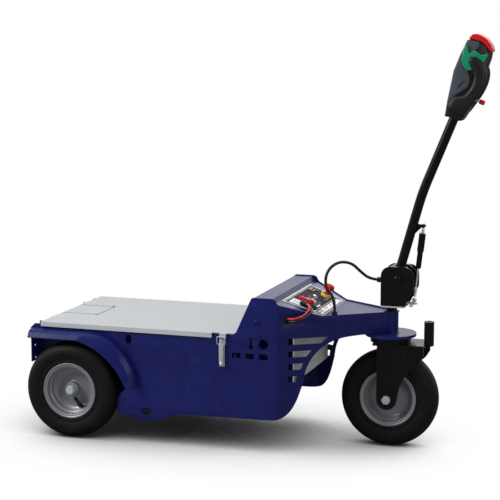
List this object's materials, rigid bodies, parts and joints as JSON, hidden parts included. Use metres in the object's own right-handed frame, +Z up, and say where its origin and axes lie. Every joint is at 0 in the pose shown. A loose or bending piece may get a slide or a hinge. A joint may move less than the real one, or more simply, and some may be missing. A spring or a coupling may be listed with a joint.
{
  "type": "electric transport cart",
  "caption": "Low three-wheeled battery cart for moving loads on foot: flat lidded deck over a battery tub, rear drive wheels, one steered front wheel under a tall tiller.",
  "frame": {"origin": "on the floor, under the middle of the machine's length and width", "axes": "+X forward to the tiller, +Y to the machine's left, +Z up"},
  "size_m": [1.8724, 0.7, 1.666],
  "materials": {
    "blue_paint": "gloss enamel",
    "lid_paint": "satin enamel",
    "black_paint": "satin enamel",
    "silver_paint": "satin enamel",
    "galvanised": "galvanised",
    "zinc": "zinc plated",
    "tyre": "tread rubber",
    "battery": "matte block",
    "black_plastic": "moulded",
    "black_rubber": "smooth",
    "red_rubber": "smooth",
    "grey_plastic": "moulded",
    "connector_grey": "moulded",
    "yellow_plastic": "moulded",
    "red_plastic": "moulded",
    "green_plastic": "moulded",
    "decal": "printed film"
  },
  "bodies": {
    "chassis": {"battery_pack": "battery", "black_lead": "black_rubber", "charge_gauge": "black_plastic", "console_cover": "blue_paint", "control_cable": "black_rubber", "controller_cover": "galvanised", "drive_unit": "black_paint", "emergency_collar": "yellow_plastic", "emergency_knob": "red_plastic", "fender_left": "blue_paint", "fender_right": "blue_paint", "head_tube": "blue_paint", "hinge_pins": "zinc", "instrument_plate": "decal", "lead_grommet": "black_plastic", "lid_latches": "zinc", "neck_gland": "black_plastic", "neck_top": "blue_paint", "power_connector": "connector_grey", "rear_rail": "blue_paint", "rear_wall": "blue_paint", "red_lead": "red_rubber", "side_plate_left": "blue_paint", "side_plate_right": "blue_paint", "stop_disc": "blue_paint", "tub_pan": "blue_paint", "well_liner_left": "blue_paint", "well_liner_right": "blue_paint"},
    "lid": {"lid_panel": "lid_paint", "lid_hatch": "lid_paint", "lid_hinges": "zinc"},
    "wheel_rear_right": {"tyre_rear_right": "tyre", "rim_rear_right": "silver_paint", "stub_axle_right": "zinc"},
    "wheel_rear_left": {"tyre_rear_left": "tyre", "rim_rear_left": "silver_paint", "stub_axle_left": "zinc"},
    "steering": {"bracket_base": "galvanised", "bracket_cover": "galvanised", "bracket_gland": "black_plastic", "fork": "black_paint", "front_axle": "zinc", "pivot_bolt": "black_paint", "spring_foot": "zinc", "steering_stem": "black_paint", "tiller_bracket": "black_paint", "tow_post": "black_paint"},
    "wheel_front": {"tyre_front": "tyre", "rim_front": "silver_paint"},
    "tiller": {"tiller_tube": "black_paint", "spring_lug": "black_paint", "head_shell": "grey_plastic", "grips": "black_rubber", "throttle": "green_plastic", "stop_button": "red_plastic", "key_toggle": "red_plastic"},
    "gas_cylinder": {"gas_cylinder": "black_paint"},
    "gas_rod": {"gas_rod": "zinc"}
  },
  "joints": [
    {"name": "lid_hinge", "type": "hinge", "parent": "chassis", "child": "lid", "pos_m": [-0.8755, 0, 0.474], "axis": [0, -1, 0], "range_deg": [0, 80]},
    {"name": "wheel_rear_right_spin", "type": "hinge", "parent": "chassis", "child": "wheel_rear_right", "pos_m": [-0.7365, -0.286, 0.2], "axis": [0, 1, 0], "continuous": true},
    {"name": "wheel_rear_left_spin", "type": "hinge", "parent": "chassis", "child": "wheel_rear_left", "pos_m": [-0.7365, 0.286, 0.2], "axis": [0, 1, 0], "continuous": true},
    {"name": "steering_turn", "type": "hinge", "parent": "chassis", "child": "steering", "pos_m": [0.5445, 0, 0.46], "axis": [0, 0, 1], "range_deg": [-90, 90], "deforming": ["control_cable"]},
    {"name": "wheel_front_spin", "type": "hinge", "parent": "steering", "child": "wheel_front", "pos_m": [0.5445, 0, 0.2], "axis": [0, 1, 0], "continuous": true},
    {"name": "tiller_tilt", "type": "hinge", "parent": "steering", "child": "tiller", "pos_m": [0.5815, 0, 0.693], "axis": [0, 1, 0], "range_deg": [0, 45]},
    {"name": "gas_cylinder_turn", "type": "hinge", "parent": "tiller", "child": "gas_cylinder", "pos_m": [0.6715, 0, 0.906], "axis": [0, 1, 0], "range_deg": [-9.6, 0]},
    {"name": "gas_rod_slide", "type": "slide", "parent": "gas_cylinder", "child": "gas_rod", "axis": [0.1086, 0, 0.9941], "range_m": [0, 0.069]}
  ],
  "couplings": [
    {"joint": "gas_cylinder_turn", "follows": "tiller_tilt", "ratio": -0.2102},
    {"joint": "gas_rod_slide", "follows": "tiller_tilt", "m_per_rad": 0.0863}
  ]
}
